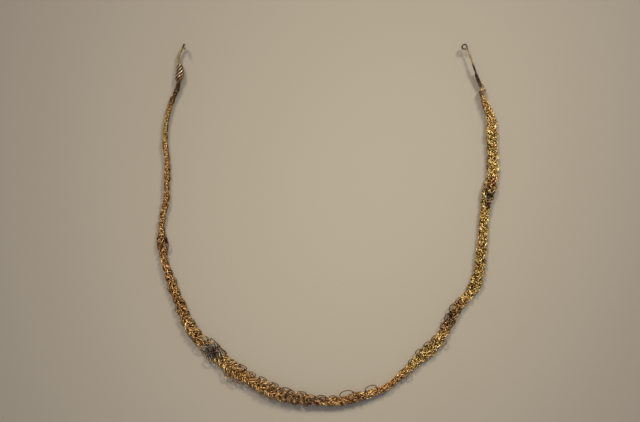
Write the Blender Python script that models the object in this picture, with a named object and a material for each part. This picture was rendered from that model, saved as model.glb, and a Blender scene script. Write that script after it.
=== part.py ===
# Braided wire collar: nine fine wires in a loose plait of three strands, with a hook pin
# lashed into one end and an eye pin linked to the other. Metres, +Z up, lying on z = 0.
import math

import bpy
import numpy as np

for old in list(bpy.data.objects):
    bpy.data.objects.remove(old, do_unlink=True)

# Sizes that drive the braid
COLLAR_SPAN = 0.171
BRAID_WIDTH = 0.0085
PLAIT_PITCH = 0.0158
PLAIT_RISE = 0.00062
BRAID_LIFT = 0.0016
WIRE_DIA = 0.00045
WIRE_GAP = 0.00007
WIRE_SPREAD = 0.155
LASHED_SHRINK = 0.75
STRANDS = 3
STRAND_WIRES = 3

# Sizes that drive the ends
GATHER_LENGTH = 0.0085
LASHING_WIRE_DIA = 0.0005
LASHING_SLANT = 0.28
HOOK_LASHING_LENGTH = 0.0078
HOOK_LASHING_TURNS = 8
HOOK_PIN_DIA = 0.0009
HOOK_PIN_REACH = 0.01005
LOOP_LASHING_LENGTH = 0.0032
LOOP_LASHING_TURNS = 3
END_LOOP_DIA = 0.0005
END_LOOP_RADIUS = 0.0011
LINK_DIA = 0.0004
LINK_HALF_WIDTH = 0.00095
LINK_LENGTH = 0.0071
LINK_LEAN = 19.0
LINK_ROLL = 45.0
EYE_PIN_DIA = 0.0005
EYE_PIN_LENGTH = 0.0145
EYE_PIN_LEAN = 14.7
EYE_RADIUS = 0.00115
LOWER_EYE_RADIUS = 0.00075
BINDING_WIRE_DIA = 0.0003
BINDING_LENGTH = 0.0036
BINDING_TURNS = 7

# The braid's way from the hook end round to the eye end: x and y as shares of COLLAR_SPAN,
# then its width as a share of BRAID_WIDTH and its rise off the table as a share of BRAID_LIFT
ROUTE = [
    (-0.428, 0.474, 0.28, 0.0), (-0.430, 0.450, 0.28, 0.0), (-0.431, 0.427, 0.28, 0.0),
    (-0.434, 0.406, 0.28, 0.0), (-0.445, 0.382, 0.30, 0.0), (-0.461, 0.335, 0.32, 0.1),
    (-0.469, 0.290, 0.36, 0.1), (-0.471, 0.245, 0.46, 0.0), (-0.465, 0.198, 0.38, 0.0),
    (-0.465, 0.160, 0.46, 0.0), (-0.466, 0.120, 0.42, 0.0), (-0.467, 0.082, 0.54, 0.0),
    (-0.475, 0.041, 0.46, 0.0), (-0.481, 0.003, 0.42, 0.1), (-0.480, -0.035, 0.56, 0.1),
    (-0.477, -0.070, 0.72, 0.1), (-0.471, -0.108, 0.56, 0.0), (-0.458, -0.146, 0.66, 0.0),
    (-0.445, -0.184, 0.80, 0.1), (-0.429, -0.219, 0.84, 0.2), (-0.415, -0.257, 0.88, 0.4),
    (-0.396, -0.297, 0.84, 0.5), (-0.365, -0.333, 0.82, 0.6), (-0.332, -0.363, 0.90, 0.6),
    (-0.304, -0.387, 0.84, 0.5), (-0.270, -0.417, 1.00, 0.5), (-0.231, -0.442, 0.94, 0.7),
    (-0.187, -0.466, 1.00, 0.9), (-0.140, -0.487, 0.96, 1.0), (-0.091, -0.499, 0.84, 1.0),
    (-0.041, -0.505, 0.70, 1.0), (0.000, -0.510, 0.70, 0.9), (0.041, -0.509, 0.64, 0.8),
    (0.085, -0.500, 0.60, 0.7), (0.129, -0.487, 0.56, 0.6), (0.167, -0.474, 0.48, 0.4),
    (0.193, -0.457, 0.46, 0.3), (0.216, -0.437, 0.60, 0.2), (0.243, -0.414, 0.74, 0.1),
    (0.269, -0.390, 0.78, 0.0), (0.295, -0.367, 0.90, 0.0), (0.322, -0.341, 0.90, 0.0),
    (0.344, -0.310, 0.78, 0.0), (0.367, -0.269, 0.80, 0.1), (0.387, -0.235, 0.72, 0.2),
    (0.412, -0.206, 0.78, 0.1), (0.434, -0.175, 0.82, 0.0), (0.447, -0.140, 0.78, 0.0),
    (0.452, -0.102, 0.72, 0.0), (0.456, -0.061, 0.68, 0.1), (0.460, -0.023, 0.56, 0.1),
    (0.462, 0.015, 0.48, 0.1), (0.466, 0.050, 0.62, 0.2), (0.472, 0.088, 0.80, 0.3),
    (0.480, 0.120, 0.68, 0.3), (0.487, 0.149, 0.56, 0.3), (0.488, 0.196, 0.62, 0.3),
    (0.487, 0.240, 0.62, 0.4), (0.485, 0.275, 0.62, 0.4), (0.485, 0.307, 0.52, 0.4),
    (0.478, 0.333, 0.52, 0.3), (0.467, 0.357, 0.40, 0.2), (0.460, 0.376, 0.32, 0.1),
    (0.457, 0.392, 0.28, 0.0), (0.456, 0.404, 0.28, 0.0),
]

# Wires that stand out of the braid as loose loops: how far along it, the side (1 is the
# neck side), and how far out as a share of BRAID_WIDTH
LOOSE_LOOPS = [
    (0.135, 1, 0.08), (0.260, 1, 0.12), (0.300, -1, 0.08), (0.362, 1, 0.08),
    (0.382, -1, 0.10), (0.399, 1, 0.08), (0.415, -1, 0.14), (0.432, 1, 0.08),
    (0.550, 1, 0.28), (0.578, 1, 0.16), (0.646, 1, 0.06), (0.666, 1, 0.06),
    (0.682, -1, 0.08), (0.721, 1, 0.06), (0.763, -1, 0.12), (0.886, -1, 0.12),
]

# The hook pin's way beyond the lashing: outwards, towards the neck and up, as shares of
# HOOK_PIN_REACH
HOOK_ROUTE = [
    (0.244, -0.070, 0.012), (0.443, -0.065, 0.012), (0.617, -0.015, 0.012), (0.766, 0.050, 0.012),
    (0.886, 0.104, 0.026), (0.975, 0.142, 0.090), (1.000, 0.160, 0.170), (0.950, 0.180, 0.236),
    (0.846, 0.206, 0.262), (0.746, 0.230, 0.250),
]

WIRES = STRANDS * STRAND_WIRES
WIRE_RADIUS = WIRE_DIA * 2 / 3
WIRE_SPACE = 2 * WIRE_RADIUS + WIRE_GAP
LASHED_RADIUS = WIRE_RADIUS * LASHED_SHRINK
LASHED_SPACE = 2 * LASHED_RADIUS + WIRE_GAP
COIL_SIDES = 8


# A bundle of the wires in a ring round a core: the ring's radius and its lashing's radius
def bundle(core):
    ring = max(core + LASHED_RADIUS + WIRE_GAP, LASHED_SPACE * 1.02 / (2 * math.sin(math.pi / WIRES)))
    inner = (ring + LASHED_RADIUS + WIRE_GAP) / math.cos(math.pi / COIL_SIDES)
    return ring, inner + LASHING_WIRE_DIA / 2


HOOK_RING, HOOK_COIL = bundle(HOOK_PIN_DIA / 2)
LOOP_RING, LOOP_COIL = bundle(END_LOOP_DIA + WIRE_GAP)
HOOK_HEIGHT = HOOK_COIL + LASHING_WIRE_DIA / 2
LOOP_HEIGHT = LOOP_COIL + LASHING_WIRE_DIA / 2


# A smooth line through rows of numbers, many points to each row
def smooth(rows, steps):
    rows = np.array(rows, float)
    ends = np.vstack([2 * rows[0] - rows[1], rows, 2 * rows[-1] - rows[-2]])
    points = []
    for i in range(1, len(ends) - 2):
        a, b, c, d = ends[i - 1:i + 3]
        for t in np.arange(steps) / steps:
            points.append(
                b + (c - a) * t / 2
                + (2 * a - 5 * b + 4 * c - d) * t * t / 2
                + (3 * b - a - 3 * c + d) * t ** 3 / 2
            )
    points.append(rows[-1])
    return np.array(points)


LINE = smooth(ROUTE, 12) * np.array([COLLAR_SPAN, COLLAR_SPAN, BRAID_WIDTH, BRAID_LIFT])
ALONG = np.concatenate([[0.0], np.cumsum(np.linalg.norm(np.diff(LINE[:, :2], axis=0), axis=1))])
LENGTH = ALONG[-1]
HEADING = np.gradient(LINE[:, :2], axis=0)
HEADING /= np.linalg.norm(HEADING, axis=1)[:, None]


# Centre, heading, side (towards the neck), width and lift of the braid at distances along it
def braid_at(distance):
    x, y, width, lift = [np.interp(distance, ALONG, LINE[:, i]) for i in range(4)]
    heading = np.stack([np.interp(distance, ALONG, HEADING[:, i]) for i in range(2)], axis=-1)
    heading /= np.linalg.norm(heading, axis=-1)[..., None]
    side = np.stack([-heading[..., 1], heading[..., 0]], axis=-1)
    return np.stack([x, y], axis=-1), heading, side, width, lift


# The plait's phase runs faster where the braid is tight; six stations to a turn, on its crossings
def stations():
    pitch = PLAIT_PITCH * (0.86 + 0.26 * LINE[:, 2] / BRAID_WIDTH)
    steps = np.diff(ALONG) * 2 / (pitch[1:] + pitch[:-1])
    turns = np.concatenate([[0.0], np.cumsum(steps)])
    count = int(turns[-1] * 6)
    wanted = np.linspace(0.0, turns[-1], count + 1)
    phase = np.radians(30.0 + 60.0 * np.arange(count + 1))
    return np.interp(wanted, turns, ALONG), phase


# Where each wire would lie at each station if nothing pushed it: sideways and upwards
def plait(distance, phase, width, lift):
    rng = np.random.default_rng(7)
    count = len(distance)
    first = int(np.searchsorted(distance, HOOK_LASHING_LENGTH + GATHER_LENGTH))
    last = int(np.searchsorted(distance, LENGTH - LOOP_LASHING_LENGTH - GATHER_LENGTH)) - 1
    held = np.clip(np.arange(count), first, last)
    spacing = np.maximum(WIRE_SPACE * 1.04, WIRE_SPREAD * width)
    reach = np.maximum(width / 2 - WIRE_RADIUS - spacing * (STRAND_WIRES - 1) / 2, WIRE_SPACE * 0.55)
    lobes = reach[None, :] * rng.uniform(0.84, 1.1, (STRANDS, count))
    stray = rng.uniform(-0.22, 0.22, (WIRES, count, 2)) * spacing[None, :, None]
    out = np.zeros((WIRES, count, 2))
    for strand in range(STRANDS):
        turn = phase[held] + 2 * math.pi * strand / STRANDS
        for wire in range(STRAND_WIRES):
            step = wire - (STRAND_WIRES - 1) / 2
            row = strand * STRAND_WIRES + wire
            out[row, :, 0] = lobes[strand, held] * np.sin(turn) + step * spacing[held]
            out[row, :, 1] = PLAIT_RISE * np.sin(2 * turn)
            out[row] += stray[row, held]
    for place, way, far in LOOSE_LOOPS:
        near = int(np.argmin(np.abs(distance - place * LENGTH)))
        window = slice(max(first, near - 2), min(last, near + 3))
        row, peak = np.unravel_index(np.argmax(way * out[:, window, 0]), out[:, window, 0].shape)
        peak += window.start
        for step, share in ((-1, 0.5), (0, 1.0), (1, 0.5)):
            out[row, peak + step, 0] += way * far * BRAID_WIDTH * share
            out[row, peak + step, 1] += far * BRAID_WIDTH * share * 0.4
    out[:, :, 1] += (lift + 2.6 * WIRE_RADIUS)[None, :]
    return out, first, last


# How far the wires at each distance are drawn into one end's bundle, from 0 to 1
def drawn_in(away, length):
    share = np.clip(1 - (away - length) / GATHER_LENGTH, 0.0, 1.0)
    return share * share * (3 - 2 * share)


# At both ends the wires draw together into a ring round the pin or the loop's legs
def gather(out, first, last, distance):
    hook = drawn_in(distance, HOOK_LASHING_LENGTH)
    loop = drawn_in(LENGTH - distance, LOOP_LASHING_LENGTH)
    for end, share, radius, height in (
        (first, hook, HOOK_RING, HOOK_HEIGHT), (last, loop, LOOP_RING, LOOP_HEIGHT),
    ):
        centre = out[:, end].mean(axis=0)
        angles = np.arctan2(out[:, end, 1] - centre[1], out[:, end, 0] - centre[0])
        order = np.argsort(angles)
        slots = 2 * math.pi * np.arange(WIRES) / WIRES
        turn = np.angle(np.exp(1j * (angles[order] - slots)).mean())
        ring = np.zeros((WIRES, 2))
        ring[order, 0] = radius * np.cos(slots + turn)
        ring[order, 1] = radius * np.sin(slots + turn) + height
        out += (ring[:, None] - out) * share[None, :, None]
    return out, 1 - (1 - LASHED_SHRINK) * np.maximum(hook, loop)


# Nearest points of two sets of short straight pieces, as shares of each piece
def nearest(p, u, q, v):
    w = p - q
    uu = (u * u).sum(-1)
    vv = (v * v).sum(-1)
    uv = (u * v).sum(-1)
    uw = (u * w).sum(-1)
    vw = (v * w).sum(-1)
    a = np.clip((uv * vw - uw * vv) / np.maximum(uu * vv - uv * uv, 1e-24), 0, 1)
    b = (uv * a + vw) / vv
    a = np.where(b < 0, np.clip(-uw / uu, 0, 1), np.where(b > 1, np.clip((uv - uw) / uu, 0, 1), a))
    return a, np.clip(b, 0, 1)


# Lets the wires settle: each is drawn to its place and kept a wire's space from every other
def settle(out, centre, side, size, fixed):
    goal = out.copy()
    count = out.shape[1]
    free = np.ones(count)
    free[fixed] = 0.0
    floor = WIRE_DIA / 2
    space = 2 * WIRE_RADIUS * (size[1:] + size[:-1]) / 2 + WIRE_GAP
    first_of, second_of = np.triu_indices(WIRES, 1)
    for turn in range(520):
        easing = 0.10 * max(0.0, 1 - turn / 330)
        out += easing * (goal - out) * free[None, :, None]
        bend = np.zeros_like(out)
        bend[:, 1:-1] = out[:, 2:] + out[:, :-2] - 2 * out[:, 1:-1]
        out[:, :, 1] += 0.6 * easing * bend[:, :, 1] * free
        place = np.concatenate([centre + out[:, :, :1] * side, out[:, :, 1:]], axis=2)
        run = np.diff(place, axis=1)
        push = np.zeros_like(out)
        worst = 0.0
        for shift in (-2, -1, 0, 1, 2):
            i = np.arange(max(0, -shift), count - 1 - max(0, shift))
            j = i + shift
            p, u = place[first_of][:, i], run[first_of][:, i]
            q, v = place[second_of][:, j], run[second_of][:, j]
            a, b = nearest(p, u, q, v)
            apart = p + a[..., None] * u - q - b[..., None] * v
            gap = np.maximum(np.linalg.norm(apart, axis=-1), 1e-9)
            short = np.maximum((space[i] + space[j]) / 2 - gap, 0.0)
            worst = max(worst, float(short[:, (free[i] + free[j]) > 0].max()))
            move = apart * (short / gap)[..., None]
            flat = np.stack([(move[..., :2] * side[i]).sum(-1), move[..., 2]], axis=-1)
            share = 0.45
            for rows, at, along, sign in ((first_of, i, a, 1), (second_of, j, b, -1)):
                for k, weight in ((0, 1 - along), (1, along)):
                    np.add.at(push, (rows[:, None], at[None, :] + k), sign * share * weight[..., None] * flat)
        out += push * free[None, :, None]
        out[:, :, 1] = np.maximum(out[:, :, 1], floor)
        if turn > 340 and worst < 0.15 * WIRE_GAP:
            break
    return out


collection = bpy.data.collections.new("braided_wire_collar")
bpy.context.scene.collection.children.link(collection)
guides = bpy.data.collections.new("guides")
bpy.context.scene.collection.children.link(guides)


def metal(name, colour, roughness):
    material = bpy.data.materials.new(name)
    material.use_nodes = True
    shader = material.node_tree.nodes["Principled BSDF"]
    shader.inputs["Base Color"].default_value = (*colour, 1.0)
    shader.inputs["Metallic"].default_value = 1.0
    shader.inputs["Roughness"].default_value = roughness
    return material


# The braid wires' section: three-sided, flat side down
def wire_profile():
    data = bpy.data.curves.new("wire_profile", "CURVE")
    data.dimensions = "2D"
    spline = data.splines.new("POLY")
    spline.points.add(2)
    for i, point in enumerate(spline.points):
        turn = math.radians(90 - 120 * i)
        point.co = (WIRE_RADIUS * math.cos(turn), WIRE_RADIUS * math.sin(turn), 0.0, 1.0)
    spline.use_cyclic_u = True
    profile = bpy.data.objects.new("wire_profile", data)
    profile.hide_render = True
    profile.display_type = "WIRE"
    guides.objects.link(profile)
    return profile


# A length of wire through the points given, closed into a ring or with capped ends
def wire(name, points, radius, material, sides=6, closed=False, profile=None, sizes=None):
    data = bpy.data.curves.new(name, "CURVE")
    data.dimensions = "3D"
    data.twist_mode = "Z_UP" if profile else "MINIMUM"
    data.use_fill_caps = not closed
    if profile:
        data.bevel_mode = "OBJECT"
        data.bevel_object = profile
    else:
        data.bevel_depth = radius
        data.bevel_resolution = sides // 2 - 2
    spline = data.splines.new("POLY")
    spline.points.add(len(points) - 1)
    for i, (point, place) in enumerate(zip(spline.points, points)):
        point.co = (*place, 1.0)
        point.radius = 1.0 if sizes is None else sizes[i]
    spline.use_cyclic_u = closed
    data.materials.append(material)
    piece = bpy.data.objects.new(name, data)
    collection.objects.link(piece)
    return piece


# A coil of so many turns along a straight or bending line of centres, each with its side and height
def coil(centre, side, height, radius, sides):
    turn = 2 * math.pi * np.arange(len(centre)) / sides
    flat = centre + (radius * np.cos(turn))[:, None] * side
    return np.column_stack([flat, height + radius * np.sin(turn)])


# A slanting lashing round a bundle between two distances along the braid
def lashing(start, end, turns, radius):
    count = turns * COIL_SIDES + 1
    slant = LASHING_SLANT * radius
    edge = slant + LASHING_WIRE_DIA / 2
    turn = 2 * math.pi * np.arange(count) / COIL_SIDES
    along = np.linspace(start + edge, end - edge, count) - slant * np.cos(turn)
    centre, _, side, _, _ = braid_at(along)
    return coil(centre, side, radius + LASHING_WIRE_DIA / 2, radius, COIL_SIDES)


# A flat direction turned anticlockwise, seen from above
def turned(direction, degrees):
    turn = math.radians(degrees)
    x, y = direction
    return np.array([x * math.cos(turn) - y * math.sin(turn), x * math.sin(turn) + y * math.cos(turn)])


def upright(flat, height=0.0):
    return np.append(flat, height)


# The nine braid wires
distance, phase = stations()
centre, heading, side, width, lift = braid_at(distance)
out, first, last = plait(distance, phase, width, lift)
out, size = gather(out, first, last, distance)
fixed = (distance <= HOOK_LASHING_LENGTH + 1e-9) | (distance >= LENGTH - LOOP_LASHING_LENGTH - 1e-9)
out = settle(out, centre, side, size, fixed)
paths = np.concatenate([centre + out[:, :, :1] * side, out[:, :, 1:]], axis=2)
gilt_wire = metal("gilt_wire", (0.50, 0.34, 0.13), 0.42)
profile = wire_profile()
for strand in range(STRANDS):
    for k in range(STRAND_WIRES):
        name = f"strand_{strand + 1}_wire_{k + 1}"
        path = paths[strand * STRAND_WIRES + k]
        wire(name, path, WIRE_RADIUS, gilt_wire, profile=profile, sizes=size)

# The hook pin, from inside its lashing out to the hook that turns up and back
dark_wire = metal("tarnished_wire", (0.16, 0.09, 0.05), 0.5)
pin_metal = metal("gilt_pin", (0.62, 0.44, 0.20), 0.35)
inside = braid_at(np.linspace(HOOK_LASHING_LENGTH * 0.96, 0.0, 4))[0]
out_way = -heading[0]
hook_rows = [(0.0, 0.0, 0.0)] + HOOK_ROUTE
hook_points = [upright(point, HOOK_HEIGHT) for point in inside[:-1]]
for along, across, up in smooth(hook_rows, 2) * HOOK_PIN_REACH:
    hook_points.append(upright(inside[-1] + along * out_way + across * side[0], HOOK_HEIGHT + up))
wire("hook_pin", hook_points, HOOK_PIN_DIA / 2, pin_metal)
hook_coil = lashing(0.0, HOOK_LASHING_LENGTH, HOOK_LASHING_TURNS, HOOK_COIL)
wire("hook_lashing", hook_coil, LASHING_WIRE_DIA / 2, dark_wire, sides=4)

# The loop in the other end: two legs inside the bundle that open into an arch
leg_gap = END_LOOP_DIA / 2 + WIRE_GAP
leg = braid_at(np.linspace(LENGTH - LOOP_LASHING_LENGTH * 0.95, LENGTH, 3))[0]
end, end_side, end_way = centre[-1], side[-1], heading[-1]
arch = [END_LOOP_RADIUS * np.array([math.sin(a), math.cos(a)]) for a in np.linspace(0, math.pi, 9)]
loop_points = [upright(point + leg_gap * end_side, LOOP_HEIGHT) for point in leg]
for along, across in arch:
    flat = end + (END_LOOP_RADIUS * 1.2 + along) * end_way + across * end_side
    loop_points.append(upright(flat, LOOP_HEIGHT))
loop_points += [upright(point - leg_gap * end_side, LOOP_HEIGHT) for point in leg[::-1]]
wire("end_loop", loop_points, END_LOOP_DIA / 2, pin_metal)
loop_coil = lashing(LENGTH - LOOP_LASHING_LENGTH, LENGTH, LOOP_LASHING_TURNS, LOOP_COIL)
wire("loop_lashing", loop_coil, LASHING_WIRE_DIA / 2, dark_wire, sides=4)

# The link, a long ring rolled on its side so that both its neighbours pass through it
low_end = upright(end + END_LOOP_RADIUS * (0.92 * end_way + 0.14 * end_side), LOOP_HEIGHT)
link_way = turned(end_way, LINK_LEAN)
link_rise = 0.35 * LOWER_EYE_RADIUS
lie = upright(link_way * math.sqrt(LINK_LENGTH ** 2 - link_rise ** 2), link_rise) / LINK_LENGTH
flat_way = upright(turned(link_way, 90))
face_way = np.cross(lie, flat_way)
across_way = math.cos(math.radians(LINK_ROLL)) * flat_way + math.sin(math.radians(LINK_ROLL)) * face_way
link_points = []
for middle, first_angle in ((LINK_LENGTH - LINK_HALF_WIDTH, -90), (LINK_HALF_WIDTH, 90)):
    for angle in np.radians(first_angle + np.linspace(0, 180, 8)):
        along = middle + LINK_HALF_WIDTH * math.cos(angle)
        link_points.append(low_end + along * lie + LINK_HALF_WIDTH * math.sin(angle) * across_way)
wire("link", link_points, LINK_DIA / 2, dark_wire, closed=True)

# The eye pin: an upright lower eye round the link, a straight stem and a level eye
pin_way = turned(end_way, EYE_PIN_LEAN)
lower_centre = low_end + LINK_LENGTH * lie
pin_points = []
for angle in np.radians(np.linspace(350, 90, 12)):
    step = LOWER_EYE_RADIUS * np.append(math.cos(angle) * pin_way, math.sin(angle))
    pin_points.append(lower_centre + step)
foot = pin_points[-1]
head = foot + upright(EYE_PIN_LENGTH * pin_way)
eye_side = turned(pin_way, 90)
for angle in np.radians(np.linspace(0, 300, 15)):
    step = EYE_RADIUS * ((1 - math.cos(angle)) * eye_side + math.sin(angle) * pin_way)
    pin_points.append(head + upright(step))
wire("eye_pin", pin_points, EYE_PIN_DIA / 2, pin_metal)

# The fine binding round the foot of the eye pin's stem
BINDING_SIDES = 8
binding_start = LOWER_EYE_RADIUS + EYE_PIN_DIA + BINDING_WIRE_DIA / 2
steps = np.linspace(binding_start, binding_start + BINDING_LENGTH, BINDING_TURNS * BINDING_SIDES + 1)
binding_centre = foot[:2] + steps[:, None] * pin_way
binding_radius = (EYE_PIN_DIA / 2 + WIRE_GAP / 2) / math.cos(math.pi / BINDING_SIDES) + BINDING_WIRE_DIA / 2
wire(
    "eye_pin_binding",
    coil(binding_centre, eye_side, foot[2], binding_radius, BINDING_SIDES),
    BINDING_WIRE_DIA / 2, dark_wire, sides=4,
)
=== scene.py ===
import math

import bmesh
import bpy
import numpy as np
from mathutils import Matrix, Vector
from mathutils.kdtree import KDTree


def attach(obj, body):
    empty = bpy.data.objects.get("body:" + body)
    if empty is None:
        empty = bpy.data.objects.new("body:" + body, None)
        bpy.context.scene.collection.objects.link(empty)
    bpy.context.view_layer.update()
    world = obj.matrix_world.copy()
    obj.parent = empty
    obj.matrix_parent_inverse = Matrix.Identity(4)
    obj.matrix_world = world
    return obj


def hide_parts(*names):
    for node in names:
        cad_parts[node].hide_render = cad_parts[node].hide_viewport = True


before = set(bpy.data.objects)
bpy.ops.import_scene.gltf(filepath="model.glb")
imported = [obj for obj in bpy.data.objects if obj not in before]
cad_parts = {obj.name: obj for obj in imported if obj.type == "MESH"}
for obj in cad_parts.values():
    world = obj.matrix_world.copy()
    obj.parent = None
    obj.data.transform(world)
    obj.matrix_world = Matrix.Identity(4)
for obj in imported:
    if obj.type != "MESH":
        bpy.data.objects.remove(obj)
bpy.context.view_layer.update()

# The braid: three loose strands of drawn copper alloy wire, washed with gold and worn back to
# the metal in places. Each wire runs from the lashing on the hook pin to the lashing on the
# end loop, and lies where its solid in the frame lies, round and evenly bent.
MM = 0.001
WIRE_DIA = 0.39 * MM
WIRE_SIDES = 8
WIRE_STEPS = 7
STRANDS = 3
STRAND_WIRES = 3
# Points closer than this are one point
SAME_POINT = 1e-7
# Two faces whose normals agree by more than this are parts of one flat face
SAME_FACE = 0.99999
# The kinks of a wire: how far apart they are and how far each leaves the line
CRINKLES = [(1.9 * MM, 0.07 * MM), (2.9 * MM, 0.09 * MM), (5.3 * MM, 0.07 * MM)]
CRINKLE_FREE_END = 3 * MM
CRINKLE_EASE = 8 * MM
CRINKLE_DRIFT = 0.4
CRINKLE_DRIFT_LENGTH = 2.3
# A little more than a full turn in radians, so that a phase drawn below it can be any
ANY_PHASE = 6.3
# The black crust of the tarnish thickens a wire by up to this share
CRUST = 0.7
# How closely the wires are drawn together, as a share of their solids' spacing, by millimetres
# along the braid from the hook end
DRAWN_ALONG = [
    0, 11, 20, 26, 36, 46, 84, 88, 94, 98, 104, 110, 130, 138, 148, 156,
    164, 186, 196, 205, 212, 220, 232, 246, 262, 274, 300, 312, 350, 366, 416,
]
DRAWN_IN = [
    1.0, 0.95, 0.6, 0.45, 0.45, 0.5, 0.52, 0.85, 0.85, 0.56, 0.6, 0.76, 0.8, 0.9, 1.12, 1.12,
    0.88, 0.9, 1.0, 0.95, 0.66, 0.78, 0.66, 0.6, 0.64, 0.74, 0.72, 0.82, 0.86, 0.95, 0.95,
]
# How many points to each side the braid's width is taken from
WIDTH_POINTS = 25

# Where the gilding is rubbed to reddish copper, where dust has dulled it to olive, and where
# it has tarnished black: x, y and reach in millimetres on the table, then strength
RUBBED_PLACES = [
    (-77, 66, 10, 0.6), (-81, 30, 13, 0.5), (-82, 10, 14, 0.5), (-81, -12, 9, 0.6),
    (-77, -29, 9, 0.45), (-72, -41, 8, 0.5), (-63, -56, 6, 0.55), (-16, -86, 16, 0.9),
    (9, -86, 9, 0.8), (-44, -72, 10, 0.35), (31, -79, 11, 0.7), (62, -44, 10, 0.6),
    (84, 22, 2.5, 1.8), (77, 60, 8, 0.3),
]
DUSTY_PLACES = [
    (-79, 52, 10, 0.8), (-80, -20, 9, 0.2), (-35, -80, 14, 0.3), (-3, -88, 8, 0.6),
    (18, -84, 7, 0.6), (48, -62, 14, 0.4), (75, -20, 20, 0.5), (83, 40, 14, 0.3),
]
TARNISHED_PLACES = [
    (-74, 72, 4, 0.45), (-75.5, 67, 4, 0.12), (-77, 65, 7, 0.4), (-81.5, -6, 6, 0.4),
    (-56.5, -61.5, 6, 0.76), (-20, -85, 8, 0.38), (-6, -88, 8, 0.42), (14, -85, 8, 0.3),
    (62, -44, 9, 0.5), (82.8, 17, 7, 0.42), (83.5, 10, 6, 0.36), (-71.5, 91.5, 2.2, 1.0),
    (69, 91, 2.5, 0.9), (74.8, 78, 3.5, 0.9), (77, 72, 2.5, 0.5),
]

# Sizes of the patterns on a wire: clouds of wear, a finer mottling, and the marks of the die.
# The real marks are about ten times finer and wouldn't show, so they are drawn coarser.
CLOUD_SIZE = 3.0 * MM
MOTTLE_SIZE = 0.7 * MM
GRAIN_SIZE = 0.12 * MM
GRAIN_DEPTH = 0.04 * MM
GRAIN_STRENGTH = 0.12
# A patch begins and is full at these sums of its cloud and its mark, which counts for less
MARK_SHARE = 0.75
DUST_EDGE = (0.50, 0.95)
RUBBED_EDGE = (0.48, 0.90)
TARNISH_EDGE = (0.62, 1.0)
# How dark and how bright the mottling leaves the metal, and how much each wire differs
MOTTLE_RANGE = (0.3, 0.7)
MOTTLED = (0.5, 1.34)
WIRE_TONE = 0.16
# The painted shade on the lowest wires and at the braid's sides leaves this share of the colour
DARKEST_PAINTED_SHADE = 0.26
# Green and blue fall off faster than red in darker parts, so the mottling and the painted shade stay
# warm
GREEN_FALL = 1.25
BLUE_FALL = 2.4
# The thin hazy film that age has left over the metal, and the rougher surface of the tarnish
FILM = 0.32
FILM_ROUGHNESS = 0.3
TARNISH_ROUGHNESS = 0.55
# Light fades over this depth under the braid's top, and by this share towards its sides
LIGHT_DEPTH = 1.5 * MM
SIDE_SHADE = 0.55
SIDE_START = 0.65
SIDE_FADE = 0.4


def middle_line(node):
    """The middles of a wire's sections in the frame's solid, from the hook end on."""
    mesh = bmesh.new()
    mesh.from_mesh(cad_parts[node].data)
    bmesh.ops.remove_doubles(mesh, verts=mesh.verts, dist=SAME_POINT)
    near = {v: {edge.other_vert(v) for edge in v.link_edges} for v in mesh.verts}
    caps = []
    for face in mesh.faces:
        flat = {face}
        todo = [face]
        while todo:
            for edge in todo.pop().edges:
                for other in edge.link_faces:
                    if other not in flat and other.normal.dot(face.normal) > SAME_FACE:
                        flat.add(other)
                        todo.append(other)
        ring = {v for part in flat for v in part.verts}
        if len(set().union(*(near[v] for v in ring)) - ring) == len(ring):
            caps.append(ring)
    ring = min(caps, key=len)
    past = set()
    line = []
    while ring:
        line.append(sum((np.array(v.co) for v in ring), np.zeros(3)) / len(ring))
        past |= ring
        ring = set().union(*(near[v] for v in ring)) - past
    mesh.free()
    return np.array(line if line[0][0] < line[-1][0] else line[::-1])


def smoothed(line, steps):
    """A smooth curve through a line's points, with so many steps between each two."""
    ends = np.vstack([2 * line[0] - line[1], line, 2 * line[-1] - line[-2]])
    points = []
    for a, b, c, d in zip(ends, ends[1:], ends[2:], ends[3:]):
        for t in np.arange(steps) / steps:
            bend = (2 * a - 5 * b + 4 * c - d) * t * t + (3 * b - a - 3 * c + d) * t ** 3
            points.append(b + ((c - a) * t + bend) / 2)
    points.append(line[-1])
    return np.array(points)


def wander(run, length, size, rng):
    """A wave of this size along a run, at a phase drawn at random."""
    return size * np.sin(run / length + rng.uniform(0, ANY_PHASE))


def crinkled(line, seed):
    """The small kinks that handling leaves in a drawn wire, none at its two ends."""
    rng = np.random.default_rng(seed)
    run = np.linalg.norm(np.diff(line, axis=0), axis=1)
    along = np.concatenate([[0.0], np.cumsum(run)])
    from_end = np.minimum(along, along[-1] - along)
    ease = np.clip((from_end - CRINKLE_FREE_END) / CRINKLE_EASE, 0, 1)
    out = line.copy()
    for length, size in CRINKLES:
        for axis in range(3):
            drift = wander(along, CRINKLE_DRIFT_LENGTH * length, CRINKLE_DRIFT * length, rng)
            wave = wander(2 * math.pi * (along + drift), length, size, rng)
            out[:, axis] += ease * wave
    return out


def reach_of(places, points):
    """How strongly each point is marked by the places, from 0 to 1."""
    mark = np.zeros(len(points))
    for x, y, reach, strength in places:
        away = np.hypot(points[:, 0] / MM - x, points[:, 1] / MM - y)
        mark += strength * np.exp(-((away / reach) ** 2))
    return np.clip(mark, 0, 1)


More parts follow.
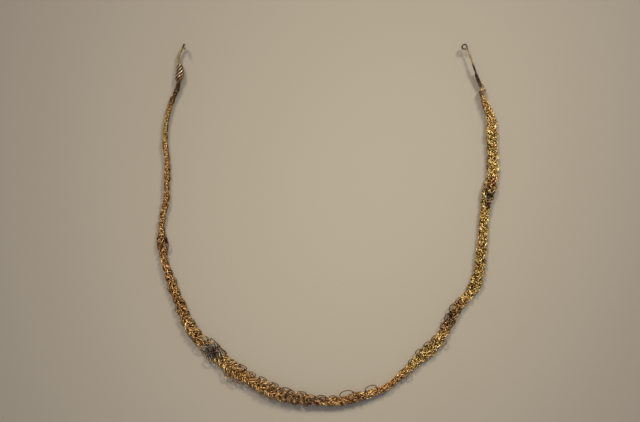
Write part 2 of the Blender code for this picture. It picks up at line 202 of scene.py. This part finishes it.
def wires(name, lines, diameters, sides=WIRE_SIDES, seed=0, painted_lights=None):
    """A piece of round wires along lines, with its patina and the light on it as attributes."""
    joined = bmesh.new()
    for i, (line, diameter) in enumerate(zip(lines, diameters)):
        curve = bpy.data.curves.new(name, "CURVE")
        curve.dimensions = "3D"
        curve.twist_mode = "MINIMUM"
        curve.bevel_depth = 1.0
        # A bevel has four sides, and two more for each step of its resolution
        curve.bevel_resolution = (sides - 4) // 2
        curve.use_fill_caps = True
        spline = curve.splines.new("POLY")
        spline.points.add(len(line) - 1)
        spline.points.foreach_set("co", np.column_stack([line, np.ones(len(line))]).ravel())
        radii = np.broadcast_to(diameter / 2, len(line)).astype(np.float32)
        spline.points.foreach_set("radius", radii)
        tube = bpy.data.objects.new(name, curve)
        mesh = bpy.data.meshes.new_from_object(tube)
        points = np.zeros(len(mesh.vertices) * 3, np.float32)
        mesh.vertices.foreach_get("co", points)
        points = points.reshape(-1, 3)
        marked = [reach_of(places, points)
                  for places in (RUBBED_PLACES, DUSTY_PLACES, TARNISHED_PLACES)]
        patina = mesh.attributes.new("patina", "FLOAT_VECTOR", "POINT")
        patina.data.foreach_set("vector", np.column_stack(marked).astype(np.float32).ravel())
        tone = np.full(len(points), np.random.default_rng(seed + i).uniform(-1, 1), np.float32)
        mesh.attributes.new("tone", "FLOAT", "POINT").data.foreach_set("value", tone)
        painted_light = np.ones(len(line)) if painted_lights is None else painted_lights[i]
        # The two caps come before the wire's sections, the far one first
        painted_light = np.concatenate([[painted_light[-1], painted_light[0]], painted_light])
        painted_light = np.repeat(painted_light, sides).astype(np.float32)
        mesh.attributes.new("painted_light", "FLOAT", "POINT").data.foreach_set("value", painted_light)
        joined.from_mesh(mesh)
        bpy.data.objects.remove(tube)
        bpy.data.curves.remove(curve)
        bpy.data.meshes.remove(mesh)
    bmesh.ops.remove_doubles(joined, verts=joined.verts, dist=SAME_POINT)
    mesh = bpy.data.meshes.new(name)
    joined.to_mesh(mesh)
    joined.free()
    mesh.shade_smooth()
    piece = bpy.data.objects.new(name, mesh)
    bpy.context.scene.collection.objects.link(piece)
    return piece


def linear(code):
    """An sRGB hex colour as Blender's linear colour."""
    parts = [int(code[i:i + 2], 16) / 255 for i in (1, 3, 5)]
    return [c / 12.92 if c <= 0.04045 else ((c + 0.055) / 1.055) ** 2.4 for c in parts] + [1.0]


def add(material, kind, settings=(), **links):
    """Adds a node, sets its options, then its sockets by number or to another's output."""
    node = material.node_tree.nodes.new("ShaderNode" + kind)
    for name, value in dict(settings).items():
        setattr(node, name, value)
    for socket, value in links.items():
        place = node.inputs[int(socket[1:])]
        if isinstance(value, bpy.types.NodeSocket):
            material.node_tree.links.new(value, place)
        else:
            place.default_value = value
    return node


def blank(name):
    """A new material with no nodes yet."""
    material = bpy.data.materials.new(name)
    material.use_nodes = True
    material.node_tree.nodes.clear()
    return material


def metal(name, clean, rubbed, dusty, tarnished, roughness, cloud_size=CLOUD_SIZE):
    """Drawn wire: its clean colour, with rubbed, dusty and tarnished patches by its attribute, and
    painted shade by its painted light.
    """
    material = blank(name)
    link = material.node_tree.links.new
    place = add(material, "TexCoord").outputs["Object"]
    patina = add(material, "Attribute", {"attribute_name": "patina"}).outputs["Vector"]
    marks = add(material, "SeparateXYZ", _0=patina)
    tone = add(material, "Attribute", {"attribute_name": "tone"}).outputs["Fac"]
    painted_light = add(material, "Attribute", {"attribute_name": "painted_light"}).outputs["Fac"]
    # A noise takes its scale, its detail and its roughness in sockets 2, 3 and 4
    cloud = add(material, "TexNoise", _0=place, _2=1 / cloud_size, _3=3.0, _4=0.6).outputs["Fac"]
    mottle = add(material, "TexNoise", _0=place, _2=1 / MOTTLE_SIZE, _3=2.0, _4=0.5).outputs["Fac"]
    grain = add(material, "TexNoise", _0=place, _2=1 / GRAIN_SIZE, _3=2.0, _4=0.5).outputs["Fac"]

    def patched(colour, mark, code, edge):
        amount = add(material, "Math", {"operation": "MULTIPLY_ADD"}, _0=mark, _1=MARK_SHARE, _2=cloud)
        amount = add(material, "MapRange", {"interpolation_type": "SMOOTHSTEP"},
                     _0=amount.outputs[0], _1=edge[0], _2=edge[1])
        mix = add(material, "Mix", {"data_type": "RGBA"},
                  _0=amount.outputs[0], _6=colour, _7=linear(code))
        return mix.outputs[2], amount.outputs[0]

    base, _ = patched(linear(clean), marks.outputs[1], dusty, DUST_EDGE)
    base, _ = patched(base, marks.outputs[0], rubbed, RUBBED_EDGE)
    base, black = patched(base, marks.outputs[2], tarnished, TARNISH_EDGE)
    shade = add(material, "Math", {"operation": "MULTIPLY_ADD"}, _0=tone, _1=WIRE_TONE, _2=mottle)
    shade = add(material, "MapRange", _0=shade.outputs[0],
                _1=MOTTLE_RANGE[0], _2=MOTTLE_RANGE[1], _3=MOTTLED[0], _4=MOTTLED[1])
    # Painted shade: the colour darkens on the lowest wires and towards the braid's sides, where less
    # light falls
    painted_shade = add(material, "MapRange", _0=painted_light, _3=DARKEST_PAINTED_SHADE, _4=1.0)
    shade = add(material, "Math", {"operation": "MULTIPLY"},
                _0=shade.outputs[0], _1=painted_shade.outputs[0])
    warm = add(material, "CombineXYZ", _0=shade.outputs[0])
    for channel, fall in ((1, GREEN_FALL), (2, BLUE_FALL)):
        part = add(material, "Math", {"operation": "POWER"}, _0=shade.outputs[0], _1=fall)
        link(part.outputs[0], warm.inputs[channel])
    base = add(material, "VectorMath", {"operation": "MULTIPLY"}, _0=base, _1=warm.outputs[0])
    rough = add(material, "MapRange", _0=black, _3=roughness, _4=TARNISH_ROUGHNESS)
    bump = add(material, "Bump", _0=GRAIN_STRENGTH, _1=GRAIN_DEPTH, _3=grain)
    shader = add(material, "BsdfPrincipled")
    shader.inputs["Metallic"].default_value = 1.0
    shader.inputs["Coat Weight"].default_value = FILM
    shader.inputs["Coat Roughness"].default_value = FILM_ROUGHNESS
    link(base.outputs[0], shader.inputs["Base Color"])
    link(rough.outputs[0], shader.inputs["Roughness"])
    link(bump.outputs[0], shader.inputs["Normal"])
    add(material, "OutputMaterial", _0=shader.outputs[0])
    return material


def how_high(rise, edge):
    """How much of the light each point of a wire gets, from 0 underneath to 1 on top.

    The rise is over the braid's middle, and the edge is 0 in its middle line and 1 at its side.
    """
    under = np.clip(0.5 + rise / LIGHT_DEPTH, 0, 1)
    return under * (1 - SIDE_SHADE * np.clip((edge - SIDE_START) / SIDE_FADE, 0, 1))


# Drawn copper alloy wire with a gold wash: warm yellow glints, reddish where it is rubbed,
# dull olive under dust, and near black without a glint where the copper has tarnished through
gilt_wire = metal("worn_gilt_copper_wire", "#f8d48e", "#d8a86e", "#dcbe78", "#5e4638", 0.42)
strands = []
for strand in range(1, STRANDS + 1):
    strands.append([f"strand_{strand}_wire_{k}" for k in range(1, STRAND_WIRES + 1)])
braid = {node: middle_line(node) for nodes in strands for node in nodes}
spine = smoothed(np.mean(list(braid.values()), axis=0), WIRE_STEPS)
along = np.concatenate([[0.0], np.cumsum(np.linalg.norm(np.diff(spine, axis=0), axis=1))])
drawn = np.interp(along / MM, DRAWN_ALONG, DRAWN_IN)
laid = {}
crusted = {}
for strand, nodes in enumerate(strands, 1):
    for k, node in enumerate(nodes, 1):
        line = crinkled(smoothed(braid[node], WIRE_STEPS), 10 * strand + k)
        line[:, :2] = spine[:, :2] + (line[:, :2] - spine[:, :2]) * drawn[:, None]
        crusted[node] = WIRE_DIA * (1 + CRUST * reach_of(TARNISHED_PLACES, line))
        line[:, 2] = np.maximum(line[:, 2], crusted[node] / 2)
        laid[node] = line
offs = {node: np.linalg.norm((line - spine)[:, :2], axis=1) for node, line in laid.items()}
widest = np.max(list(offs.values()), axis=0)
widest = [widest[max(0, i - WIDTH_POINTS):i + WIDTH_POINTS + 1].max() for i in range(len(widest))]
for strand, nodes in enumerate(strands, 1):
    lines = [laid[node] for node in nodes]
    # The painted shade of each wire: darker underneath and towards the braid's sides
    painted_lights = [how_high((laid[node] - spine)[:, 2], offs[node] / widest) for node in nodes]
    thicknesses = [crusted[node] for node in nodes]
    name = f"plaited_strand_{strand}"
    piece = wires(name, lines, thicknesses, seed=100 * strand, painted_lights=painted_lights)
    piece.data.materials.append(gilt_wire)
    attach(piece, "root")
    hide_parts(*nodes)

# The finer wires: a second, closer plait of thinner wire of the same metal, worked in among
# the first. Its wires slip over and under the thicker ones wherever there is room, and they
# are broken off where the braid is tarnished black.
FINE_WIRE_DIA = 0.32 * MM
FINE_WIRES = 5
FINE_SIDES = 6
FINE_PITCH = 9.0 * MM
FINE_STEP = 0.24 * MM
FINE_SPACING = 0.75 * MM
FINE_RISE = 1.35 * MM
FINE_SEED = 3
HOOK_END_CLEAR = 9 * MM
LOOP_END_CLEAR = 3 * MM
# The share of the braid's half width that the finer wires fill, less this many of their steps
FINE_WIDTH = 0.92
STEP_ROOM = 1.1
NARROWEST = 0.3
# The small stitches in which each wire runs
STITCH = 1.35 * MM
STITCH_WIDTH = 0.28 * MM
STITCH_RISE = 0.26 * MM
STITCH_LAG = (0.5, 1.5)
STITCH_SHADE = 0.25
# How far the stitches are pulled straight, by millimetres along the braid
STITCHED_ALONG = [0, 144, 148, 158, 164, 184, 192, 220, 228]
STITCHED = [1.0, 1.0, 0.2, 0.2, 1.0, 0.9, 0.35, 0.35, 1.0]
# How unevenly the wires run. Each stray is a length along the braid and a size.
TURN_SPREAD = 0.25
RISE_SPREAD = 0.2
TURN_STRAY = (19 * MM, 0.5)
WIDTH_STRAY = (7.3 * MM, 0.14)
PACE_STRAY = (3.1 * MM, 0.9)
STITCH_STRAY = (11 * MM, 0.4)
# How the wires are settled: how far they are pushed clear and eased in each of so many turns
SETTLING_TURNS = 9
PUSH_CLEAR = 0.6
PUSH_APART = 0.3
EASE = 0.02
ELBOW_ROOM = 0.02 * MM
LEAST_DISTANCE = 1e-6
# The braid's heading and width are softened over this many steps to each side, and its width
# is measured on the wires that lie within these distances of a point and of its cross-section
SOFT_STEPS = 15
WIDTH_REACH = 6 * MM
SECTION_REACH = 1.5 * MM
# Where the wires are broken off, and the steps by which each end is longer than the last
BROKEN_PLACE = (-57 * MM, -61 * MM)
BROKEN_REACH = 7 * MM
BROKEN_STAGGER = 6
ENDS_BEFORE = 12
ENDS_AFTER = 16


def points_tree(points):
    """The points in a tree that finds the nearest of them quickly."""
    tree = KDTree(len(points))
    for i, point in enumerate(points):
        tree.insert(point, i)
    tree.balance()
    return tree


def pushed(point, near, away, clearance):
    """The way from a near point out to the clearance."""
    return (point - np.array(near)) * (clearance / max(away, LEAST_DISTANCE) - 1)


def settled(lines, diameter, tree, clearance, turns):
    """Lines of wire pushed clear of the wires in the tree and of each other, and eased."""
    owner = np.repeat(np.arange(len(lines)), [len(line) for line in lines])
    for _ in range(turns):
        others = points_tree(np.vstack(lines))
        moved = []
        for i, line in enumerate(lines):
            push = np.zeros_like(line)
            for j, point in enumerate(line):
                for near, _, away in tree.find_range(point, clearance):
                    push[j] += pushed(point, near, away, clearance) * PUSH_CLEAR
                for near, which, away in others.find_range(point, diameter):
                    if owner[which] != i:
                        push[j] += pushed(point, near, away, diameter) * PUSH_APART
            line = line + push
            line[1:-1] += EASE * (line[2:] + line[:-2] - 2 * line[1:-1])
            line[:, 2] = np.maximum(line[:, 2], diameter / 2)
            moved.append(line)
        lines = moved
    return lines


def softened(values):
    """Values along the braid, each averaged with its neighbours."""
    weights = np.hanning(2 * SOFT_STEPS + 1)
    return np.convolve(np.pad(values, SOFT_STEPS, "edge"), weights / weights.sum(), "valid")


stops = np.arange(HOOK_END_CLEAR, along[-1] - LOOP_END_CLEAR, FINE_STEP)
heart = np.column_stack([softened(np.interp(stops, along, spine[:, axis])) for axis in range(3)])
heading = np.gradient(heart[:, :2], axis=0)
heading /= np.linalg.norm(heading, axis=1)[:, None]
across = np.column_stack([-heading[:, 1], heading[:, 0], np.zeros(len(stops))])
thick = np.vstack(list(laid.values()))
tree = points_tree(thick)
half = []
for i, point in enumerate(heart):
    beside = []
    for _, j, _ in tree.find_range(point, WIDTH_REACH):
        if abs((thick[j] - point)[:2] @ heading[i]) < SECTION_REACH:
            beside.append(abs((thick[j] - point) @ across[i]))
    half.append(max(beside) - WIRE_DIA / 2)
half = softened(half)
pulled = np.interp(stops / MM, STITCHED_ALONG, STITCHED)
rng = np.random.default_rng(FINE_SEED)
fine = []
lit = []
for strand in range(STRANDS):
    for k in range(FINE_WIRES):
        turn = 2 * math.pi * (stops / FINE_PITCH + strand / STRANDS)
        turn += rng.uniform(-TURN_SPREAD, TURN_SPREAD)
        turn += wander(stops, *TURN_STRAY, rng)
        step = (k - (FINE_WIRES - 1) / 2) * FINE_SPACING * half / half.max()
        reach = half * (FINE_WIDTH + wander(stops, *WIDTH_STRAY, rng))
        reach -= STEP_ROOM * abs(step).max()
        aside = np.maximum(reach, NARROWEST * half) * np.sin(turn) + step
        line = heart + aside[:, None] * across
        line[:, 2] += FINE_RISE * np.sin(2 * turn) + rng.uniform(-RISE_SPREAD, RISE_SPREAD) * MM
        stitch = 2 * math.pi * stops / STITCH + wander(stops, *PACE_STRAY, rng)
        swing = STITCH_WIDTH * pulled * (1 + wander(stops, *STITCH_STRAY, rng))
        line += (swing * np.sin(stitch))[:, None] * across
        over = np.sin(stitch + rng.uniform(*STITCH_LAG))
        line[:, 2] += STITCH_RISE * pulled * over
        lit.append(1 - STITCH_SHADE * pulled * (1 - over))
        fine.append(line)
clearance = (WIRE_DIA + FINE_WIRE_DIA) / 2 + ELBOW_ROOM
fine = settled(fine, FINE_WIRE_DIA, tree, clearance, SETTLING_TURNS)
broken = np.hypot(*(heart[:, :2] - BROKEN_PLACE).T) < BROKEN_REACH
before, after = np.flatnonzero(broken)[[0, -1]]
for strand in range(STRANDS):
    lines = []
    painted_lights = []
    for k in range(FINE_WIRES):
        line = fine[strand * FINE_WIRES + k]
        edge = abs(((line - heart) * across).sum(axis=1)) / half
        # The painted shade of each fine wire: darker underneath, towards the sides and where a stitch
        # dips under
        light = how_high((line - heart)[:, 2], edge) * lit[strand * FINE_WIRES + k]
        last = before + ENDS_BEFORE - BROKEN_STAGGER * k
        first = after - ENDS_AFTER + BROKEN_STAGGER * k
        for run in (slice(0, last), slice(first, None)):
            lines.append(line[run])
            painted_lights.append(light[run])
    name = f"fine_strand_{strand + 1}"
    diameters = [FINE_WIRE_DIA] * len(lines)
    piece = wires(name, lines, diameters, FINE_SIDES, seed=900 + 10 * strand, painted_lights=painted_lights)
    piece.data.materials.append(gilt_wire)
    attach(piece, "root")

# The loose loops: bights of wire that have worked out of the braid, most of them in a row of
# small open eyes on the neck side. Handling has dulled them brown, and their feet are held
# among the other wires.
LOOP_WIRE_DIA = 0.52 * MM
LOOP_FEET = 1.8 * MM
LOOP_RISE = 0.5
LOOP_POINTS = 23
LOOP_STEPS = 3
LOOP_SETTLING_TURNS = 6
# A loop is half a turn, and its feet go on for this share of one more
FEET_SHARE = 0.3
# How bluntly a loop rounds off, and how much wider it is at its head than at its feet
BLUNTNESS = 0.9
SWELL = 0.25
# Where each loop leaves the braid, its width along it and its height out of it, in millimetres
LOOPS = [
    (-42, -71, 3.6, 1.0), (-37, -74, 3.2, 1.0), (-32, -77, 4.0, 1.2), (-26, -80, 3.2, 0.8),
    (-20, -82, 4.0, 0.9), (-12, -83, 4.0, 0.8), (-2, -85, 4.0, 1.0), (10.5, -84.5, 6.6, 2.7),
    (22.5, -81.5, 5.6, 2.0), (43, -68, 2.6, 0.9), (47.5, -64, 3.2, 1.6), (51.5, -60, 3.4, 1.2),
    (55, -56.5, 3.0, 1.0), (58.5, -49.5, 3.0, 0.9), (61, -45, 3.6, 1.2), (63.5, -40.5, 3.8, 1.4),
    (66, -36.5, 3.2, 1.0), (60.5, -59, 3.2, 1.4), (42, -76, 4.0, 0.9), (-55, -57.5, 6.0, 0.5),
    (-51, -61, 4.4, 0.5), (-66, -47, 3.2, 0.7), (-59, -67, 4.0, 0.5), (-45, -76, 5.0, 0.8),
    (-79, -9, 4.6, 0.8), (3.5, -85, 3.4, 0.9),
]

# Copper wire browned by handling: duller and darker than the gilding, with a soft sheen
brown_wire = metal("browned_copper_wire", "#8a6845", "#7c583a", "#776541", "#44322a", 0.44)
held = points_tree(np.vstack([thick] + fine))
plan = points_tree(np.column_stack([heart[:, :2], np.zeros(len(heart))]))
loops = []
for x, y, wide, tall in LOOPS:
    foot = np.array((x, y, 0.0)) * MM
    i = plan.find(foot)[1]
    out = across[i] * np.sign((foot - heart[i])[:2] @ across[i][:2])
    turn = np.linspace(-FEET_SHARE, 1 + FEET_SHARE, LOOP_POINTS) * math.pi
    rise = np.sin(turn)
    depth = np.where(rise > 0, tall * MM * np.abs(rise) ** BLUNTNESS, LOOP_FEET * rise)
    line = heart[i] + (half[i] + depth)[:, None] * out
    width = wide * MM * (1 + SWELL * np.maximum(rise, 0))
    line += (-width / 2 * np.cos(turn))[:, None] * np.append(heading[i], 0.0)
    line[:, 2] += LOOP_RISE * (1 + rise) * MM
    loops.append(line)
clearance = (FINE_WIRE_DIA + LOOP_WIRE_DIA) / 2
loops = settled(loops, LOOP_WIRE_DIA, held, clearance, LOOP_SETTLING_TURNS)
lines = [smoothed(line, LOOP_STEPS) for line in loops]
piece = wires("loose_loops", lines, [LOOP_WIRE_DIA] * len(lines), FINE_SIDES, seed=700)
piece.data.materials.append(brown_wire)
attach(piece, "root")

# The hook pin: a stiff gilt rod held in the first lashing, hammered a little thinner towards
# its tip and bent up and back as a hook. Its tip is cut square and rubbed blunt.
HOOK_PIN_DIA = 1.25 * MM
HOOK_TIP_DIA = 0.85 * MM
PIN_SIDES = 12
PIN_STEPS = 4
PIN_CLOUD_SIZE = 5.0 * MM

# Gilt copper rod, drawn and hammered: paler and evener than the wires, with wide soft clouds
gilt_pin = metal(
    "gilt_copper_pin", "#ac905a", "#9a7a50", "#8f7f50", "#4c3a2e", 0.42, PIN_CLOUD_SIZE)
hook = smoothed(middle_line("hook_pin"), PIN_STEPS)
thinning = HOOK_PIN_DIA + (HOOK_TIP_DIA - HOOK_PIN_DIA) * np.linspace(0, 1, len(hook)) ** 2
piece = wires("hook_pin_rod", [hook], [thinning], PIN_SIDES, seed=7)
piece.data.materials.append(gilt_pin)
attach(piece, "root")
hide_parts("hook_pin")

# The hook end's lashing: five bare copper wires wound steeply round the foot of the hook pin and
# the ends of the braid's wires, with five near-black wires laid between their turns as painted
# shade in the gaps. It bulges in its lower half and is drawn in tight at both ends.
HOOK_LASHING_DIA = 0.56 * MM
UNDERLAY_DIA = 0.74 * MM
HOOK_LASHING_LEAD = 9.0 * MM
HOOK_LASHING_WIRES = 5
HOOK_LASHING_POINTS = 60
# The pin is straight for this many of its solid's sections, which give the lashing its axis
STRAIGHT_SECTIONS = 3
# The lashing runs this far past its solid towards the hook and towards the braid
PAST_HOOK_SIDE = 0.3 * MM
PAST_BRAID_SIDE = 1.0 * MM
# How many millimetres from its middle its wires lie, at shares of its length from the hook
LASHED_SHARES = [0.0, 0.08, 0.2, 0.45, 0.62, 0.82, 0.93, 1.0]
LASHED_RADII = [0.95, 1.25, 1.4, 1.5, 1.72, 1.65, 1.35, 1.05]
# How far its middle bows out to one side
LEAN = 0.45 * MM

# Bare copper wire, rubbed bright: a pale pinkish yellow with a clear glint on every turn
bare_wire = metal("bare_copper_wire", "#f0cca0", "#e8c094", "#dcc094", "#d8b48a", 0.36)
# Near-black, half matt wire laid between the bright turns: painted shade for the gaps between them
gap_shade_wire = metal("painted_gap_shade_wire", "#3a2618", "#342014", "#342818", "#2a1c12", 0.5)
foot = hook[0]
neck = hook[STRAIGHT_SECTIONS * PIN_STEPS]
axis = (foot - neck) / np.linalg.norm(foot - neck)
side = np.cross((0.0, 0.0, 1.0), axis)
side /= np.linalg.norm(side)
top = np.cross(axis, side)
middle = (foot + neck) / 2
reach = (middle_line("hook_lashing") - middle) @ axis
run = np.linspace(reach.min() - PAST_HOOK_SIDE, reach.max() + PAST_BRAID_SIDE, HOOK_LASHING_POINTS)
out = np.interp(np.linspace(0, 1, len(run)), LASHED_SHARES, LASHED_RADII) * MM
lean = LEAN * np.sin(np.linspace(0, math.pi, len(run)))
for name, diameter, start, finish in (
    ("hook_end_lashing", HOOK_LASHING_DIA, 0.0, bare_wire),
    # Near-black wires between the bright turns, as painted shade in the gaps
    ("hook_end_painted_gap_shade", UNDERLAY_DIA, 0.5, gap_shade_wire),
):
    lines = []
    for k in range(HOOK_LASHING_WIRES):
        turn = 2 * math.pi * (run / HOOK_LASHING_LEAD + (k + start) / HOOK_LASHING_WIRES)
        line = middle + run[:, None] * axis + (lean + out * np.cos(turn))[:, None] * side
        line += (out * np.sin(turn))[:, None] * top
        line[:, 2] = np.maximum(line[:, 2], diameter / 2)
        lines.append(line)
    piece = wires(name, lines, [diameter] * len(lines), seed=20)
    piece.data.materials.append(finish)
    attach(piece, "root")
    if finish is bare_wire:
        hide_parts("hook_lashing")

# The loop end's lashing: three close turns of the browned copper wire, drawn tight round the
# braid's other end and the legs of the end loop.
LOOP_LASHING_DIA = 0.5 * MM

coil = smoothed(middle_line("loop_lashing"), PIN_STEPS)
piece = wires("loop_end_lashing", [coil], [LOOP_LASHING_DIA], seed=21)
piece.data.materials.append(brown_wire)
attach(piece, "root")
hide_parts("loop_lashing")

# The end loop: a hairpin of gilt wire, now dull, whose two legs are lashed into the braid's
# other end, so that its arch stands out as a ring for the link.
END_LOOP_DIA = 0.5 * MM

arch = smoothed(middle_line("end_loop"), PIN_STEPS)
piece = wires("end_loop_wire", [arch], [END_LOOP_DIA], PIN_SIDES, seed=30)
piece.data.materials.append(gilt_pin)
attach(piece, "root")
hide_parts("end_loop")

# The link: a dark copper wire wound three times into a long flat ring, each turn narrower than
# the last and lying on it, that joins the end loop to the eye pin. It is rolled on its side.
LINK_DIA = 0.62 * MM
LINK_TURNS = 3
LINK_STEPS = 36
# The last turn is narrower than the first by this many thicknesses of the wire on each side,
# and the turns lie this share of a thickness apart
LINK_NARROWING = 1.6
LINK_PITCH = 0.9
# The higher this is over 1, the straighter are the link's two long sides
LINK_STRAIGHTNESS = 1.6
CORNER_DIGITS = 7

# Copper wire under an even brown tarnish: dark, half matt, with a weak warm glint
dark_wire = metal("tarnished_copper_wire", "#86664c", "#76523e", "#706046", "#463228", 0.45)
corners = np.array([v.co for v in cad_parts["link"].data.vertices])
corners = np.unique(corners.round(CORNER_DIGITS), axis=0)
middle = (corners.min(axis=0) + corners.max(axis=0)) / 2
_, _, axes = np.linalg.svd(corners - middle, full_matrices=False)
long_half, wide_half = [np.ptp(corners @ axis) / 2 - LINK_DIA / 2 for axis in axes[:2]]
turn = np.linspace(0, 2 * math.pi * LINK_TURNS, LINK_STEPS * LINK_TURNS + 1)
share = np.linspace(0, 1, len(turn))
width = wide_half - LINK_NARROWING * LINK_DIA * share
straight = (long_half - wide_half) * np.clip(LINK_STRAIGHTNESS * np.cos(turn), -1, 1)
line = middle + (straight + wide_half * np.cos(turn))[:, None] * axes[0]
line += (width * np.sin(turn))[:, None] * axes[1]
line += (LINK_DIA * (LINK_TURNS - 1) * (share - 0.5) * LINK_PITCH)[:, None] * axes[2]
piece = wires("wound_link", [line], [LINK_DIA], seed=60)
piece.data.materials.append(dark_wire)
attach(piece, "root")
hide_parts("link")

# The eye pin: a straight gilt wire with a small upright eye round the link at its foot and a
# level ring at its head, each turned from the wire's own end. The ring is thick with tarnish.
EYE_PIN_DIA = 0.7 * MM
RING_DIA = 0.95 * MM
# The ring's share of the wire's length, and where the wire has thinned to the stem
RING_SHARE = 0.2
STEM_SHARE = 0.3

stem = smoothed(middle_line("eye_pin"), PIN_STEPS)
thickness = np.interp(
    np.linspace(0, 1, len(stem)), [RING_SHARE, STEM_SHARE], [RING_DIA, EYE_PIN_DIA])
piece = wires("eye_pin_wire", [stem], [thickness], PIN_SIDES, seed=40)
piece.data.materials.append(gilt_pin)
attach(piece, "root")
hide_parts("eye_pin")

# The binding: a very fine tarnished copper wire wound seven times round the foot of the eye
# pin's stem, which holds the small eye shut.
BINDING_WIRE_DIA = 0.3 * MM
BINDING_STEPS = 2

binding = smoothed(middle_line("eye_pin_binding"), BINDING_STEPS)
piece = wires("eye_pin_fine_binding", [binding], [BINDING_WIRE_DIA], seed=50)
piece.data.materials.append(dark_wire)
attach(piece, "root")
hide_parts("eye_pin_binding")

# The floor: a plain board under the collar, painted in a pale warm beige. It is no part of the
# object, and reaches far past the picture on every side.
FLOOR_HALF = 1.5
FLOOR_ROUGHNESS = 0.9

# Matt emulsion paint: an even colour with no sheen, on which only soft shadows show
board = blank("matt_painted_board")
shader = add(board, "BsdfPrincipled")
shader.inputs["Base Color"].default_value = linear("#a99c8a")
shader.inputs["Roughness"].default_value = FLOOR_ROUGHNESS
add(board, "OutputMaterial", _0=shader.outputs[0])
shape = bmesh.new()
bmesh.ops.create_grid(shape, x_segments=1, y_segments=1, size=FLOOR_HALF)
data = bpy.data.meshes.new("floor")
shape.to_mesh(data)
shape.free()
data.materials.append(board)
floor = bpy.data.objects.new("floor", data)
bpy.context.scene.collection.objects.link(floor)

# The light: two soft spots beyond the picture's top corners, whose soft-edged cones leave the
# corners dimmer, and the cool even light of a pale room. Places are in metres, cones in degrees.
ROOM_COLOUR = (0.35, 0.37, 0.44, 1.0)
ROOM_STRENGTH = 1.0


def spot(name, place, aim, cone, power, colour, size):
    """A soft round lamp at a place, turned to a point on the table."""
    data = bpy.data.lights.new(name, "SPOT")
    data.shadow_soft_size = size
    data.spot_size = math.radians(cone)
    data.spot_blend = 1.0
    data.energy = power
    data.color = colour
    light = bpy.data.objects.new(name, data)
    light.location = place
    light.rotation_mode = "QUATERNION"
    light.rotation_quaternion = (Vector((*aim, 0.0)) - Vector(place)).to_track_quat("-Z", "Y")
    bpy.context.scene.collection.objects.link(light)


spot("right_spot", place=(0.55, 0.74, 0.62), aim=(0.03, 0.02), cone=21.0, power=49.0,
     colour=(0.98, 1.0, 0.86), size=0.15)
spot("left_spot", place=(-0.40, 0.76, 0.68), aim=(0.005, 0.01), cone=22.0, power=55.0,
     colour=(1.0, 0.92, 0.76), size=0.20)
world = bpy.data.worlds.new("pale_room")
world.use_nodes = True
world.node_tree.nodes["Background"].inputs["Color"].default_value = ROOM_COLOUR
world.node_tree.nodes["Background"].inputs["Strength"].default_value = ROOM_STRENGTH
bpy.context.scene.world = world
bpy.context.scene.view_settings.view_transform = "Standard"

# The camera: straight above the table with a long lens, as in the photograph, and turned so
# that the collar opens towards the top. 320 mm of the table fill the picture's width.
VIEW_WIDTH = 320 * MM
VIEW_CENTRE = (-3 * MM, 8 * MM)
FOCUS_HEIGHT = 1.5 * MM
LENS = 70.0
NEAR_CLIP = 10 * MM

data = bpy.data.cameras.new("camera")
data.lens = LENS
data.clip_start = NEAR_CLIP
camera = bpy.data.objects.new("camera", data)
camera.location = (*VIEW_CENTRE, FOCUS_HEIGHT + VIEW_WIDTH * LENS / data.sensor_width)
bpy.context.scene.collection.objects.link(camera)
bpy.context.scene.camera = camera
